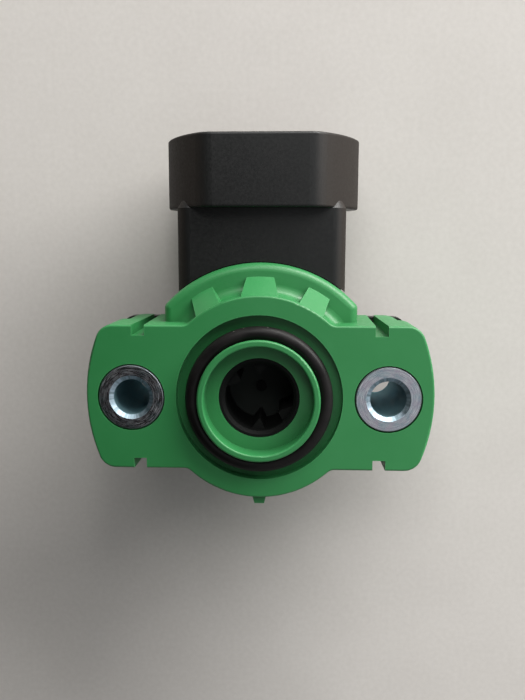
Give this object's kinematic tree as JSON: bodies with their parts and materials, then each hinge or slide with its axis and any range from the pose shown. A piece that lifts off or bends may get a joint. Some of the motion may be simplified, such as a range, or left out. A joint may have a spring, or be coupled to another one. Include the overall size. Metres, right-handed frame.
{
  "type": "throttle position sensor",
  "caption": "Rotary throttle position sensor: a two-eared moulded flange with steel sleeves, a sprung drive rotor inside a sealed boss, and a shrouded electrical connector on a neck.",
  "frame": {"origin": "on the rotor's axis in the plane of the mounting face, midway between the two sleeves", "axes": "+Z out of the mounting face along the rotor's axis, +Y towards the connector's mouth, +X along the line of the two sleeves"},
  "size_m": [0.054, 0.058, 0.0304],
  "materials": {
    "green_plastic": "satin moulded green plastic",
    "black_plastic": "satin moulded black plastic",
    "plated_steel": "turned steel with bright zinc plating",
    "black_rubber": "smooth black rubber",
    "seal_rubber": "moulded rubber",
    "rotor_plastic": "glass-filled black plastic",
    "spring_steel": "plain spring steel strip",
    "contact_metal": "stamped contact alloy",
    "board": "pale board, matt",
    "carbon_film": "printed carbon film",
    "silver_film": "printed silver film",
    "washer_plastic": "natural low-friction plastic",
    "terminal_metal": "tinned brass blade"
  },
  "bodies": {
    "housing": {"front_housing": "green_plastic", "connector_housing": "black_plastic", "bushing_left": "plated_steel", "bushing_right": "plated_steel", "flange_o_ring": "black_rubber", "housing_seal": "seal_rubber", "return_spring": "spring_steel", "track_board": "board", "resistive_track": "carbon_film", "conductor_tracks": "silver_film", "thrust_washer": "washer_plastic", "terminal_1": "terminal_metal", "terminal_2": "terminal_metal", "terminal_3": "terminal_metal", "terminal_4": "terminal_metal", "terminal_5": "terminal_metal", "terminal_6": "terminal_metal"},
    "rotor": {"rotor": "rotor_plastic", "position_wiper": "contact_metal", "switch_wiper": "contact_metal"}
  },
  "joints": [
    {"name": "rotor_turn", "type": "hinge", "parent": "housing", "child": "rotor", "pos_m": [0, 0, -0.006], "axis": [0, 0, 1], "range_deg": [0, 95], "stiffness_Nm_per_rad": 0.01, "springref_deg": -68.75, "deforming": ["return_spring"]}
  ]
}
